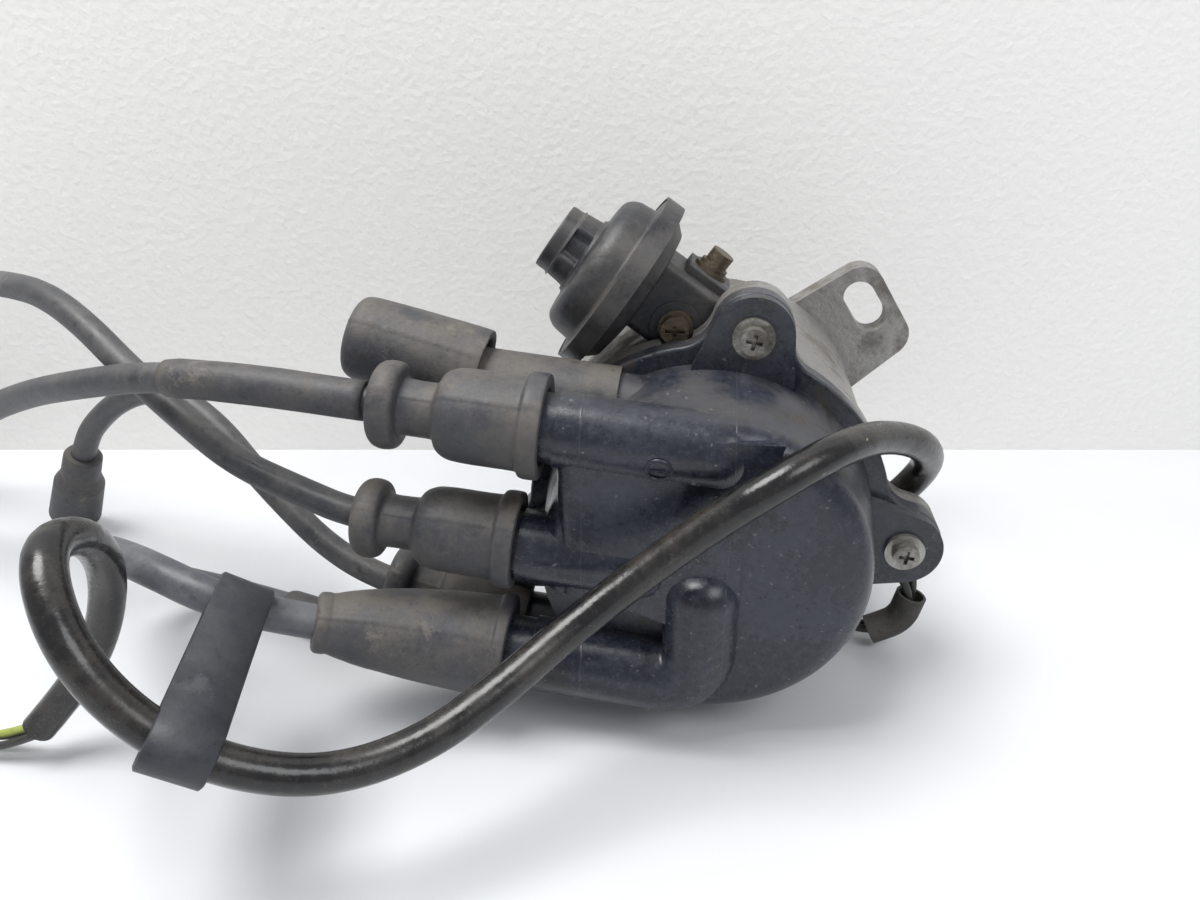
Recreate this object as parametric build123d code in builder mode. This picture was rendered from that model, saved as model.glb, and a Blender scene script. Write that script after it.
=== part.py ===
from build123d import *
from math import cos, sin, radians, hypot
import os

os.makedirs("parts", exist_ok=True)

# Ignition distributor, side-exit cap, five towers, vacuum advance, on its shaft axis (+Y = drive end).
# Millimetres. Y = 0 is the face of the slotted ear that seats on the engine.

# ---- driving dimensions: housing ----
bowl_r, bowl_wall, floor_y, ear_front = 43.0, 4.0, -16.0, -8.0
flange_r, flange_back, joint_y = 44.3, -66.0, -71.5
lobe_r, screw_pitch_r = 9.4, 48.3
screw_angles = (80.0, -5.5, 196.0)
spigot_r, spigot_len, spigot_nose_r, spigot_end = 16.0, 22.0, 12.0, 28.0
ring_groove_y, ring_groove_w, ring_groove_d = 10.0, 3.2, 2.0
bush_r, hub_r, hub_front = 9.0, 15.0, -30.0
slot_r, slot_angle, slot_turn, slot_w, slot_len = 56.0, 38.5, -56.0, 9.0, 16.3
# ---- cap ----
cap_flange_front, boss_front, face_y = -76.5, -79.5, -106.0
dome_base_r, dome_face_r, dome_edge, cap_wall, face_wall = 40.0, 36.6, 6.0, 3.0, 7.0
plateau_y, conduit_top = -106.8, 1.8
tower_tilt = 6.0
tower_r, rear_tower_r, coil_tower_r, tower_bore_r = 8.4, 7.8, 8.8, 3.0
front_row_y, rear_row_y, coil_row_y = -100.0, -78.9, -103.0
# height of each tower axis at x = -40, and the x of its open end
tower_z = {"one": 33.0, "two": 2.7, "coil": -25.0, "four": 31.5, "five": -33.5}
tower_end = {"one": -49.5, "two": -58.5, "coil": -56.0, "four": -54.0, "five": -56.0}
seat_len, seat_step = 17.0, 0.7
# ---- shaft train ----
shaft_r, spindle_r, shaft_fit = 6.0, 4.0, 0.03
plate_bore_r, cam_hub_r = 14.0, 7.0
weight_pivot_x, weight_out_r, weight_in_r, drive_angle = 17.0, 22.0, 8.6, 100.0
electrode_r, terminal_gap = 29.6, 0.9
brush_mouth, brush_seat, brush_bore, brush_tip = -96.5, -106.5, 2.35, -92.5
# ---- vacuum unit ----
vac_angle, vac_offset, vac_reach, vac_y, rod_up = -35.0, 29.5, 51.0, -56.0, -4.2
rim_r, cover_r, cover_depth, nub_r, nub_end = 23.3, 18.0, 9.0, 8.3, 18.8
nipple_r, nipple_root, nipple_len = 2.4, -32.5, 11.0
# ---- leads and harness ----
lead_r, sleeve_r, coil_lead_r, harness_r, wire_r = 3.5, 4.6, 4.0, 3.75, 0.95
harness_hole, hole_r = (-57.2, -6.0), 5.2
wire_hole, wire_hole_r = (-58.5, -18.0), 3.0
floor_z = -45.0
plate_rim_r = bowl_r - bowl_wall - 0.1
plate_screw_r, plate_screw_angles = plate_rim_r - 2.6, (25.0, 140.0, 250.0)
module_angle = -62.0


def level(y):
    """Drawing plane square to the shaft, seen from the cap side: x right, y up."""
    return Plane(origin=(0, y, 0), x_dir=(1, 0, 0), z_dir=(0, -1, 0))


def polar(r, a):
    return (r * cos(radians(a)), r * sin(radians(a)))


def lathe(points):
    """Ring or bar turned about the shaft axis from (radius, y) points."""
    with BuildPart() as body:
        with BuildSketch(Plane.XY):
            with BuildLine():
                Polyline(*points, close=True)
            make_face()
        revolve(axis=Axis.Y)
    return body.part


def turned(plane, points):
    """Body turned about the plane's own z axis from (radius, z) points."""
    with BuildPart() as body:
        with BuildSketch(Plane(origin=plane.origin, x_dir=plane.x_dir, z_dir=-plane.y_dir)):
            with BuildLine():
                Polyline(*points, close=True)
            make_face()
        revolve(axis=Axis(plane.origin, plane.z_dir))
    return body.part


def corded(radius, points, bore=0.0):
    """Round tube along straight runs joined by tangent arcs; prints the arc radii."""
    radii = []
    for a, b, c in zip(points, points[1:], points[2:]):
        u, v = Vector(b) - Vector(a), Vector(c) - Vector(b)
        radii.append(0.45 * min(u.length, v.length) / max(0.02, sin(radians(u.get_angle(v) / 2))
                     / cos(radians(u.get_angle(v) / 2))))
    with BuildPart() as tube:
        with BuildLine():
            path = FilletPolyline(*points, radius=radii)
        with BuildSketch(Plane(origin=path @ 0, z_dir=path % 0)):
            Circle(radius)
            if bore:
                Circle(bore, mode=Mode.SUBTRACT)
        sweep(path=path)
    area = 3.14159265 * (radius ** 2 - bore ** 2)
    print(f"   tube r {radius}: length {path.length:.1f}, volume/section {tube.part.volume / area:.1f}, "
          f"arcs {' '.join(f'{r:.0f}' for r in radii)}")
    return tube.part


def tower_axis(key, y):
    """Plane on a tower's axis at x = -40 with z pointing out of the cap (to the left)."""
    return Plane(origin=(-40, y, tower_z[key]), x_dir=(0, 1, 0),
                 z_dir=(-cos(radians(tower_tilt)), 0, sin(radians(tower_tilt))))


def along(plane, x):
    """Distance along a tower axis to the given world x."""
    return (-40 - x) / cos(radians(tower_tilt))


axis_of = {"one": tower_axis("one", front_row_y), "two": tower_axis("two", front_row_y),
           "coil": tower_axis("coil", coil_row_y), "four": tower_axis("four", rear_row_y),
           "five": tower_axis("five", rear_row_y)}
radius_of = {"one": tower_r, "two": tower_r, "coil": coil_tower_r, "four": rear_tower_r, "five": rear_tower_r}
root_of = {"one": 2.0, "two": -14.0, "coil": -12.0, "four": 0.0, "five": -6.0}

vac_d = (cos(radians(vac_angle)), sin(radians(vac_angle)))
vac_foot = (vac_offset * -vac_d[1], vac_offset * vac_d[0])
vac_o = (vac_foot[0] - vac_reach * vac_d[0], vac_y, vac_foot[1] - vac_reach * vac_d[1])
vac_plane = Plane(origin=vac_o, x_dir=(0, 1, 0), z_dir=(vac_d[0], 0, vac_d[1]))


def vac_point(t, up=0.0, y=vac_y):
    """Point t along the vacuum axis, 'up' square to it, at depth y."""
    return (vac_o[0] + vac_d[0] * t - vac_d[1] * up, y, vac_o[2] + vac_d[1] * t + vac_d[0] * up)


screw_a = vac_point(17.5, 1.6, -64.0)
screw_b_t = 17.0
rod_pin = vac_point(vac_reach, rod_up)[0::2]


def save(body, name):
    """Label a finished piece (or group of like pieces) and write its file."""
    body.label = name
    export_step(body, f"parts/{name}.step")
    print(name, round(body.volume, 1), len(body.solids()))


def flange_outline(grow=0.0):
    """Round flange with three screw lobes blended in."""
    Circle(flange_r + grow)
    with Locations(*[polar(screw_pitch_r, a) for a in screw_angles]):
        Circle(lobe_r + grow)


def knuckles(sketch, grow=0.0):
    """Corners where the lobes meet the round flange."""
    centres = [polar(screw_pitch_r, a) for a in screw_angles]
    return [v for v in sketch.vertices() if abs(hypot(v.X, v.Y) - flange_r - grow) < 0.05 and
            any(abs(hypot(v.X - x, v.Y - y) - lobe_r - grow) < 0.05 for x, y in centres)]


# ================= housing, cast aluminium =================
with BuildPart() as housing:
    with BuildSketch(level(ear_front)):
        Circle(bowl_r)
    extrude(amount=ear_front - joint_y)
    fillet(housing.edges().filter_by(GeomType.CIRCLE).sort_by(Axis.Y)[-1], 3.0)
    with BuildSketch(level(flange_back)) as rim:
        flange_outline()
        fillet(knuckles(rim), 9.0)
    extrude(amount=flange_back - joint_y)
    # slotted ear and its round root
    with BuildSketch(level(0.0)):
        Circle(34.0)
    extrude(amount=-ear_front)
    with BuildSketch(level(0.0)) as ear:
        with BuildLine():
            Polyline((8, 24), (20, 33), (44, 49.5), (59.5, 25.5), (38, 5), (24, -6), close=True)
        make_face()
        fillet([v for v in ear.vertices() if v.X > 43], 7.0)
        with Locations(Location((*polar(slot_r, slot_angle), 0), slot_turn)):
            SlotOverall(slot_len, slot_w, mode=Mode.SUBTRACT)
    extrude(amount=-ear_front)
    # spigot and nose
    with BuildSketch(level(spigot_len)):
        Circle(spigot_r)
    extrude(amount=spigot_len + 2)
    with BuildSketch(level(spigot_end)):
        Circle(spigot_nose_r)
    extrude(amount=spigot_end - spigot_len + 1)
    chamfer(housing.edges().filter_by(GeomType.CIRCLE).sort_by(Axis.Y)[-1], 0.8)
    # bosses for the two vacuum-unit screws, fused to the outside of the bowl
    with BuildSketch(level(-45.0)):
        with Locations((screw_a[0], screw_a[2])):
            Circle(5.0)
        with BuildLine():
            Polyline((screw_a[0] - 5, screw_a[2]), (screw_a[0] + 5, screw_a[2]), (screw_a[0] + 6, 34),
                     (screw_a[0] - 1, 34), close=True)
        make_face()
    extrude(amount=15.0)
    # bowl inside, hub and bore
    with BuildSketch(level(floor_y)):
        Circle(bowl_r - bowl_wall)
        Circle(hub_r, mode=Mode.SUBTRACT)
    extrude(amount=floor_y - joint_y, mode=Mode.SUBTRACT)
    with BuildSketch(level(hub_front)):
        Circle(hub_r + 0.5)
    extrude(amount=hub_front - joint_y, mode=Mode.SUBTRACT)
    # ledge that carries the fixed plate
    with BuildSketch(level(-44.0)):
        Circle(bowl_r - bowl_wall + 0.5)
        Circle(33.5, mode=Mode.SUBTRACT)
    extrude(amount=6.0)
    with BuildSketch(level(-44.0)):
        with Locations(*[polar(plate_screw_r, a) for a in plate_screw_angles]):
            Circle(1.25)
    extrude(amount=6.0, mode=Mode.SUBTRACT)
    with BuildSketch(level(spigot_end)):
        Circle(bush_r)
    extrude(amount=spigot_end - hub_front, mode=Mode.SUBTRACT)
    add(lathe([(spigot_r - ring_groove_d, ring_groove_y), (spigot_r + 1, ring_groove_y),
               (spigot_r + 1, ring_groove_y + ring_groove_w),
               (spigot_r - ring_groove_d, ring_groove_y + ring_groove_w)]), mode=Mode.SUBTRACT)
    # rod window into the bowl, harness hole, cap screw holes, vacuum screw hole, drain
    with BuildSketch(vac_plane.offset(11)):
        with Locations((0, rod_up)):
            Rectangle(5.0, 6.4)
    extrude(amount=33, mode=Mode.SUBTRACT)
    with BuildSketch(Plane(origin=(30, *harness_hole), x_dir=(0, 1, 0), z_dir=(1, 0, 0))):
        Circle(hole_r)
    extrude(amount=20, mode=Mode.SUBTRACT)
    with BuildSketch(Plane(origin=(30, *wire_hole), x_dir=(0, 1, 0), z_dir=(1, 0, 0))):
        Circle(wire_hole_r)
    extrude(amount=20, mode=Mode.SUBTRACT)
    with BuildSketch(level(flange_back)):
        with Locations(*[polar(screw_pitch_r, a) for a in screw_angles]):
            Circle(2.1)
    extrude(amount=flange_back - joint_y, mode=Mode.SUBTRACT)
    with BuildSketch(level(-50.0)):
        with Locations((screw_a[0], screw_a[2])):
            Circle(2.05)
    extrude(amount=12.0, mode=Mode.SUBTRACT)
    # relief in the flange for the vacuum screw's head
    with BuildSketch(level(-64.4)):
        with Locations((screw_a[0], screw_a[2])):
            Circle(4.4)
    extrude(amount=-64.4 - joint_y, mode=Mode.SUBTRACT)
    with BuildSketch(Plane(origin=(0, -30, -36), x_dir=(1, 0, 0), z_dir=(0, 0, -1))):
        Circle(1.5)
    extrude(amount=10, mode=Mode.SUBTRACT)
save(housing.part, "housing")


# ================= cap, moulded phenolic =================
with BuildPart() as plateau:
    with BuildSketch(level(-92)):
        with BuildLine():
            Polyline((-32.5, -20), (8, -20), (8, 10), (15, 34), (-32.5, 34), close=True)
        make_face()
    extrude(amount=-92 - plateau_y)
    fillet(plateau.edges().group_by(Axis.Y)[0].sort_by(Axis.X)[0], 4.0)
# coil conduit: from the centre of the face down, then out along the coil tower's own axis
coil_axis = axis_of["coil"]
with BuildPart() as conduit:
    with BuildLine():
        elbow = FilletPolyline((0, coil_row_y, conduit_top), coil_axis.offset(along(coil_axis, 0)).origin,
                               coil_axis.offset(along(coil_axis, tower_end["coil"])).origin, radius=9.0)
    with BuildSketch(Plane(origin=elbow @ 0, z_dir=elbow % 0)):
        Circle(coil_tower_r)
    sweep(path=elbow)
    fillet(conduit.edges().filter_by(GeomType.CIRCLE).sort_by(Axis.Z)[-1], coil_tower_r - 1.8)
with BuildPart() as cap:
    with BuildSketch(level(joint_y)) as skirt:
        flange_outline()
        fillet(knuckles(skirt), 9.0)
    extrude(amount=joint_y - cap_flange_front)
    fillet(cap.edges().group_by(Axis.Y)[0], 0.8)
    for a in screw_angles:
        with BuildSketch(level(cap_flange_front + 1)):
            with Locations(polar(screw_pitch_r, a)):
                Circle(lobe_r - 0.2)
            with Locations(polar(screw_pitch_r - 16, a)):
                Circle(13.0)
            make_hull()
        extrude(amount=cap_flange_front + 1 - boss_front)
    add(lathe([(0, joint_y), (dome_base_r, joint_y), (dome_base_r, cap_flange_front),
               (dome_face_r, face_y), (0, face_y)]))
    fillet(cap.edges().filter_by(GeomType.CIRCLE).sort_by(Axis.Y)[0], dome_edge)
    # raised plateau that carries the roots of the two front towers
    add(plateau.part)
    # sunk field between the plateau and the coil tower
    with BuildSketch(level(face_y + 5)):
        with BuildLine():
            Polyline((-50, -4.0), (-34.6, -5.0), (-22.8, -6.7), (-13.7, -9.2), (-6.4, -12.1), (-6.4, -34), (-50, -30),
                     close=True)
        make_face()
    extrude(amount=8, mode=Mode.SUBTRACT)
    add(conduit.part)
    for key, frame in axis_of.items():
        if key != "coil":
            with BuildSketch(frame.offset(along(frame, root_of[key]))):
                Circle(radius_of[key])
            extrude(amount=along(frame, tower_end[key]) - along(frame, root_of[key]))
        if key in ("one", "two"):
            with Locations(frame.offset(along(frame, root_of[key])).origin):
                Sphere(radius_of[key])
        with BuildSketch(frame.offset(along(frame, tower_end[key]))):
            Circle(radius_of[key] + 1)
            Circle(radius_of[key] - seat_step, mode=Mode.SUBTRACT)
        extrude(amount=-seat_len, mode=Mode.SUBTRACT)
    # keep the open side clear, hollow the dome
    add(lathe([(0, joint_y), (dome_base_r + 30, joint_y), (dome_base_r + 30, joint_y + 25), (0, joint_y + 25)]),
        mode=Mode.SUBTRACT)
    add(lathe([(0, joint_y), (dome_base_r - cap_wall, joint_y), (dome_base_r - cap_wall, cap_flange_front),
               (dome_face_r - cap_wall, face_y + face_wall), (0, face_y + face_wall)]), mode=Mode.SUBTRACT)
    with BuildSketch(level(brush_mouth)):
        Circle(5.5)
    extrude(amount=6)
    with BuildSketch(level(brush_mouth)):
        Circle(brush_bore)
    extrude(amount=brush_mouth - brush_seat, mode=Mode.SUBTRACT)
    # tower bores, terminal seats, screw holes, joint groove
    for key, frame in axis_of.items():
        with BuildSketch(frame.offset(along(frame, tower_end[key]))):
            Circle(tower_bore_r)
        extrude(amount=-(along(frame, tower_end[key]) - along(frame, -28)), mode=Mode.SUBTRACT)
    for a in (20, 110, 200, 290):
        with BuildSketch(Plane(origin=(*[polar(30.5, a)[0]], -89, polar(30.5, a)[1]), x_dir=(0, 1, 0),
                               z_dir=(polar(1, a)[0], 0, polar(1, a)[1]))):
            Rectangle(8, 5)
        extrude(amount=6.3, mode=Mode.SUBTRACT)
    with BuildSketch(level(joint_y)):
        with Locations(*[polar(screw_pitch_r, a) for a in screw_angles]):
            Circle(2.4)
    extrude(amount=joint_y - boss_front, mode=Mode.SUBTRACT)
    with BuildSketch(level(joint_y)):
        Circle(40.6)
        Circle(38.6, mode=Mode.SUBTRACT)
    extrude(amount=1.2, mode=Mode.SUBTRACT)
save(cap.part, "cap")


# ================= bearings and seals in the housing =================
with BuildPart() as bushes:
    for near, far in ((6, 24), (-29, -13)):
        add(lathe([(shaft_r + shaft_fit, near), (bush_r, near), (bush_r, far), (shaft_r + shaft_fit, far)]))
save(bushes.part, "shaft_bushes")
with BuildPart() as oil_seal:
    add(lathe([(shaft_r + 0.05, 0.5), (bush_r, 0), (bush_r, 5), (shaft_r + 2.2, 5), (shaft_r + 2.2, 2.5),
               (shaft_r + 0.05, 1.6)]))
save(oil_seal.part, "oil_seal")
with BuildPart() as spigot_ring:
    with BuildSketch(Plane.XY):
        with Locations((spigot_r - ring_groove_d / 2, ring_groove_y + ring_groove_w / 2)):
            Circle(ring_groove_d / 2)
    revolve(axis=Axis.Y)
save(spigot_ring.part, "spigot_o_ring")
with BuildPart() as cap_seal:
    add(lathe([(38.7, joint_y), (40.5, joint_y), (40.5, joint_y - 1.2), (38.7, joint_y - 1.2)]))
save(cap_seal.part, "cap_seal")

# ================= shaft train =================
with BuildPart() as shaft:
    add(lathe([(0, -84), (spindle_r, -84), (spindle_r, -37), (shaft_r, -37), (shaft_r, 30), (5.0, 30),
               (5.0, 41), (0, 41)]))
    with BuildSketch(Plane(origin=(-8, 36, 0), z_dir=(1, 0, 0))):
        Circle(1.5)
    extrude(amount=16, mode=Mode.SUBTRACT)
    with BuildSketch(level(-80)):
        Circle(1.2)
    extrude(amount=4, mode=Mode.SUBTRACT)
save(shaft.part, "shaft")
with BuildPart() as coupling:
    add(lathe([(5.0, 30.5), (11.0, 30.5), (11.0, 41), (5.0, 41)]))
    with BuildSketch(level(46)):
        with Locations((0, 1.2)):
            Rectangle(22, 4.6)
        Circle(11.0, mode=Mode.INTERSECT)
    extrude(amount=5)
    with BuildSketch(Plane(origin=(-12, 36, 0), z_dir=(1, 0, 0))):
        Circle(1.5)
    extrude(amount=24, mode=Mode.SUBTRACT)
save(coupling.part, "drive_coupling")
with BuildPart() as pin:
    with BuildSketch(Plane(origin=(-10.6, 36, 0), z_dir=(1, 0, 0))):
        Circle(1.5)
    extrude(amount=21.2)
save(pin.part, "coupling_pin")
with BuildPart() as washer:
    add(lathe([(shaft_r + 0.1, 28.4), (10.5, 28.4), (10.5, 30.2), (shaft_r + 0.1, 30.2)]))
save(washer.part, "thrust_washer")
with BuildPart() as weight_plate:
    add(lathe([(shaft_r, -36), (24.0, -36), (24.0, -33), (shaft_r, -33)]))
    with BuildSketch(level(-35.5)):
        with Locations((weight_pivot_x, 0), (-weight_pivot_x, 0)):
            Circle(2.0)
    extrude(amount=7.0)
save(weight_plate.part, "weight_plate")
weight_names = ("weight_upper", "weight_lower")
for name, turn in zip(weight_names, (0, 180)):
    with BuildPart() as weight:
        with BuildSketch(level(-36.4)) as plan:
            with BuildLine():
                low, high = 14.0, 140.0
                CenterArc((0, 0), weight_out_r, low, high - low)
                CenterArc((0, 0), weight_in_r, low, high - low)
                Line(polar(weight_in_r, low), polar(weight_out_r, low))
                Line(polar(weight_in_r, high), polar(weight_out_r, high))
            make_face()
            with Locations((weight_pivot_x, 0)):
                Circle(4.6)
                Circle(2.05, mode=Mode.SUBTRACT)
        extrude(amount=5.0)
        with BuildSketch(level(-41.4)):
            with Locations(polar(14.0, drive_angle)):
                Circle(1.5)
        extrude(amount=3.2)
    save(weight.part.rotate(Axis.Y, turn), name)
with BuildPart() as cam:
    add(lathe([(spindle_r + 0.04, -82), (cam_hub_r, -82), (cam_hub_r, -44.6), (13.0, -44.6), (13.0, -42.2),
               (spindle_r + 0.04, -42.2)]))
    with BuildSketch(level(-42.2)):
        with Locations(Location((0, 0, 0), drive_angle)):
            Rectangle(47, 9)
        Circle(23.0, mode=Mode.INTERSECT)
        Circle(spindle_r + 2, mode=Mode.SUBTRACT)
    extrude(amount=2.4)
    with BuildSketch(level(-42.0)):
        with Locations(*[Location((*polar(16.0, a), 0), a) for a in (drive_angle, drive_angle + 180)]):
            SlotOverall(9.0, 3.6)
    extrude(amount=4.0, mode=Mode.SUBTRACT)
save(cam.part, "cam_sleeve")
with BuildPart() as reluctor:
    with BuildSketch(level(-62)):
        Circle(10.0)
        for a in (45, 135, 225, 315):
            with Locations(Location((*polar(11.5, a), 0), a)):
                Rectangle(6.0, 3.2)
        Circle(cam_hub_r, mode=Mode.SUBTRACT)
    extrude(amount=6)
save(reluctor.part, "reluctor")

# ================= rotor =================
with BuildPart() as rotor:
    with BuildSketch(level(-70)):
        Circle(11.0)
        Circle(cam_hub_r, mode=Mode.SUBTRACT)
    extrude(amount=12)
    with BuildSketch(level(-82)):
        Circle(11.0)
    extrude(amount=6)
    with BuildSketch(level(-81)):
        Circle(spindle_r + 0.1)
    extrude(amount=3.4, mode=Mode.SUBTRACT)
    with BuildSketch(level(-84.5)):
        with BuildLine():
            Polyline((-10, -7), (12, -7), (26, -5), (28, -3.6), (28, 3.6), (26, 5), (12, 7), (-10, 7), close=True)
        make_face()
    extrude(amount=6.5)
    fillet(rotor.faces().sort_by(Axis.Y)[0].edges(), 0.6)
    with BuildSketch(level(-91)):
        with Locations((13, 0)):
            Rectangle(34, 6.0)
    extrude(amount=-1.0, mode=Mode.SUBTRACT)
    with BuildSketch(level(-91)):
        with Locations((10, 0)):
            Circle(1.3)
    extrude(amount=-6, mode=Mode.SUBTRACT)
save(rotor.part, "rotor_arm")
with BuildPart() as electrode:
    with BuildSketch(level(-90)):
        with Locations((12.8, 0)):
            Rectangle(33.6, 6.0)
    extrude(amount=1.0)
    with BuildSketch(level(-86.5)):
        with Locations((28.8, 0)):
            Rectangle(1.6, 6.0)
    extrude(amount=4.5)
    with BuildSketch(level(-91)):
        Circle(2.6)
    extrude(amount=-brush_tip - 91)
    with BuildSketch(level(-90)):
        with Locations((10, 0)):
            Circle(1.3)
    extrude(amount=1, mode=Mode.SUBTRACT)
save(electrode.part, "rotor_electrode")
with BuildPart() as rotor_screw:
    with BuildSketch(level(-86)):
        with Locations((10, 0)):
            Circle(1.3)
    extrude(amount=5)
    with BuildSketch(level(-91)):
        with Locations((10, 0)):
            Circle(2.4)
    extrude(amount=1.2)
save(rotor_screw.part, "rotor_screw")

# ================= contacts in the cap =================
with BuildPart() as terminals:
    for a in (20, 110, 200, 290):
        x, z = polar(electrode_r + terminal_gap, a)
        with BuildSketch(Plane(origin=(x, -89, z), x_dir=(0, 1, 0), z_dir=(polar(1, a)[0], 0, polar(1, a)[1]))):
            Rectangle(8, 5)
        extrude(amount=6.3)
save(terminals.part, "side_terminals")
with BuildPart() as brush:
    with BuildSketch(level(brush_tip)):
        Circle(brush_bore - 0.06)
    extrude(amount=8.5)
save(brush.part, "carbon_brush")
with BuildPart() as brush_spring:
    coil_top = brush_tip - 8.5
    with BuildLine():
        spiral = Helix(pitch=(coil_top - brush_seat - 0.7) / 4, height=coil_top - brush_seat - 0.7, radius=1.7,
                       center=(0, coil_top - 0.35, 0), direction=(0, -1, 0))
    with BuildSketch(Plane(origin=spiral @ 0, z_dir=spiral % 0)):
        Circle(0.3)
    sweep(path=spiral, is_frenet=True)
save(brush_spring.part, "brush_spring")
with BuildPart() as inserts:
    for key, frame in axis_of.items():
        with BuildSketch(frame.offset(along(frame, -28))):
            Circle(tower_bore_r)
        extrude(amount=10)
save(inserts.part, "tower_inserts")


# ================= plates, pickup and ignition module in the bowl =================
with BuildPart() as base_plate:
    add(lathe([(plate_bore_r, -52), (plate_rim_r, -52), (plate_rim_r, -50), (plate_bore_r, -50)]))
    add(lathe([(plate_bore_r, -54.8), (15.5, -54.8), (15.5, -51), (plate_bore_r, -51)]))
    with BuildSketch(level(-50)):
        with Locations(*[polar(plate_screw_r, a) for a in plate_screw_angles]):
            Circle(1.35)
        with Locations(*[polar(33.0, module_angle + d) for d in (-14, 14)]):
            Circle(1.25)
    extrude(amount=2, mode=Mode.SUBTRACT)
save(base_plate.part, "base_plate")
with BuildPart() as advance_plate:
    with BuildSketch(level(-52.3)):
        Circle(26.0)
        with Locations(rod_pin):
            Circle(4.6)
        make_hull()
        Circle(15.56, mode=Mode.SUBTRACT)
    extrude(amount=2.2)
    with BuildSketch(level(-54.5)):
        with Locations(rod_pin):
            Circle(2.0)
    extrude(amount=4.0)
save(advance_plate.part, "advance_plate")
pickup_frame = Plane(origin=(0, -54.5, 0), x_dir=(polar(1, 200)[0], 0, polar(1, 200)[1]), z_dir=(0, -1, 0))
with BuildPart() as pickup:
    with BuildSketch(pickup_frame):
        with Locations((21.4, 0)):
            RectangleRounded(8.4, 14.0, 1.5)
    extrude(amount=14.0)
    with BuildSketch(pickup_frame.offset(8.5)):
        with Locations((20, 0)):
            Rectangle(7, 5)
    extrude(amount=4.0, mode=Mode.SUBTRACT)
save(pickup.part, "pickup_coil")
with BuildPart() as pole:
    with BuildSketch(pickup_frame.offset(8.5)):
        with Locations((19.35, 0)):
            Rectangle(8.3, 5)
    extrude(amount=4.0)
save(pole.part, "pole_piece")
with BuildPart() as module:
    with BuildSketch(level(-52)):
        with Locations(Location((*polar(32.3, module_angle), 0), module_angle)):
            RectangleRounded(9.4, 24.0, 1.2)
        with Locations(*[polar(33.0, module_angle + d) for d in (-14, 14)]):
            Circle(1.3, mode=Mode.SUBTRACT)
    extrude(amount=9.0)
save(module.part, "ignition_module")
with BuildPart() as plate_screws:
    spots = [(polar(plate_screw_r, a), -45.0, 7.0, 2.4) for a in plate_screw_angles]
    spots += [(polar(33.0, module_angle + d), -50.0, 11.0, 2.3) for d in (-14, 14)]
    for spot, start, shank, head_r in spots:
        with BuildSketch(level(start)):
            with Locations(spot):
                Circle(1.25)
        extrude(amount=shank)
        with BuildSketch(level(start - shank)):
            with Locations(spot):
                Circle(head_r)
        extrude(amount=1.8)
save(plate_screws.part, "plate_screws")

# ================= cap screws with captive washers =================
with BuildPart() as cap_screws:
    for a in screw_angles:
        spot = polar(screw_pitch_r, a)
        for start, r, tall in ((-64.5, 2.0, 15.0), (boss_front, 4.75, 1.2), (boss_front - 1.2, 3.1, 2.4)):
            with BuildSketch(level(start)):
                with Locations(spot):
                    Circle(r)
            extrude(amount=tall)
        with BuildSketch(level(boss_front - 3.6)):
            with Locations(Location((*spot, 0), a)):
                Rectangle(3.6, 0.9)
                Rectangle(0.9, 3.6)
        extrude(amount=-1.5, mode=Mode.SUBTRACT)
save(cap_screws.part, "cap_screws")

# ================= vacuum advance unit =================
bowl_tool = lathe([(0, -90), (bowl_r + 0.05, -90), (bowl_r + 0.05, 0), (0, 0)])
with BuildPart() as vac_body:
    add(turned(vac_plane, [(0, 0.9), (rim_r - 0.6, 0.9), (rim_r - 0.6, -1.3), (rim_r, -1.3), (rim_r, 3.4), (20.5, 3.6),
                           (18.0, 6.5), (13.0, 7.5), (0, 7.5)]))
    add(turned(vac_plane, [(0, 0.5), (16.5, 0.5), (16.5, 3.2), (12.0, 5.0), (0, 5.0)]), mode=Mode.SUBTRACT)
    with BuildSketch(vac_plane.offset(5.5)):
        with Locations((0.5, 3.5)):
            RectangleRounded(17.0, 19.0, 2.0)
    extrude(amount=20.5)
    with BuildSketch(vac_plane.offset(11.5)):
        with Locations((0.5, 13.5)):
            RectangleRounded(11.0, 4.0, 1.0)
    extrude(amount=11.5)
    with BuildSketch(level(-59.0)):
        with Locations((screw_a[0], screw_a[2])):
            Circle(6.2)
    extrude(amount=5.6)
    # saddle on the bowl, pocket over the housing boss, rod tunnel, screw holes
    add(bowl_tool, mode=Mode.SUBTRACT)
    with BuildSketch(level(-44.0)):
        with Locations((screw_a[0], screw_a[2])):
            Circle(5.1)
        with BuildLine():
            Polyline((screw_a[0] - 5.1, screw_a[2]), (screw_a[0] + 5.1, screw_a[2]), (screw_a[0] + 6.2, 34),
                     (screw_a[0] - 1.2, 34), close=True)
        make_face()
    extrude(amount=16.05, mode=Mode.SUBTRACT)
    with BuildSketch(vac_plane.offset(4.0)):
        with Locations((0, rod_up)):
            Rectangle(5.0, 6.4)
    extrude(amount=26, mode=Mode.SUBTRACT)
    with BuildSketch(level(-60.0)):
        with Locations((screw_a[0], screw_a[2])):
            Circle(2.1)
    extrude(amount=6, mode=Mode.SUBTRACT)
    with BuildSketch(Plane(origin=vac_point(screw_b_t, 15.5), x_dir=(0, 1, 0), z_dir=(vac_d[1], 0, -vac_d[0]))):
        Circle(2.05)
    extrude(amount=10, mode=Mode.SUBTRACT)
save(vac_body.part, "vacuum_body")
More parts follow.
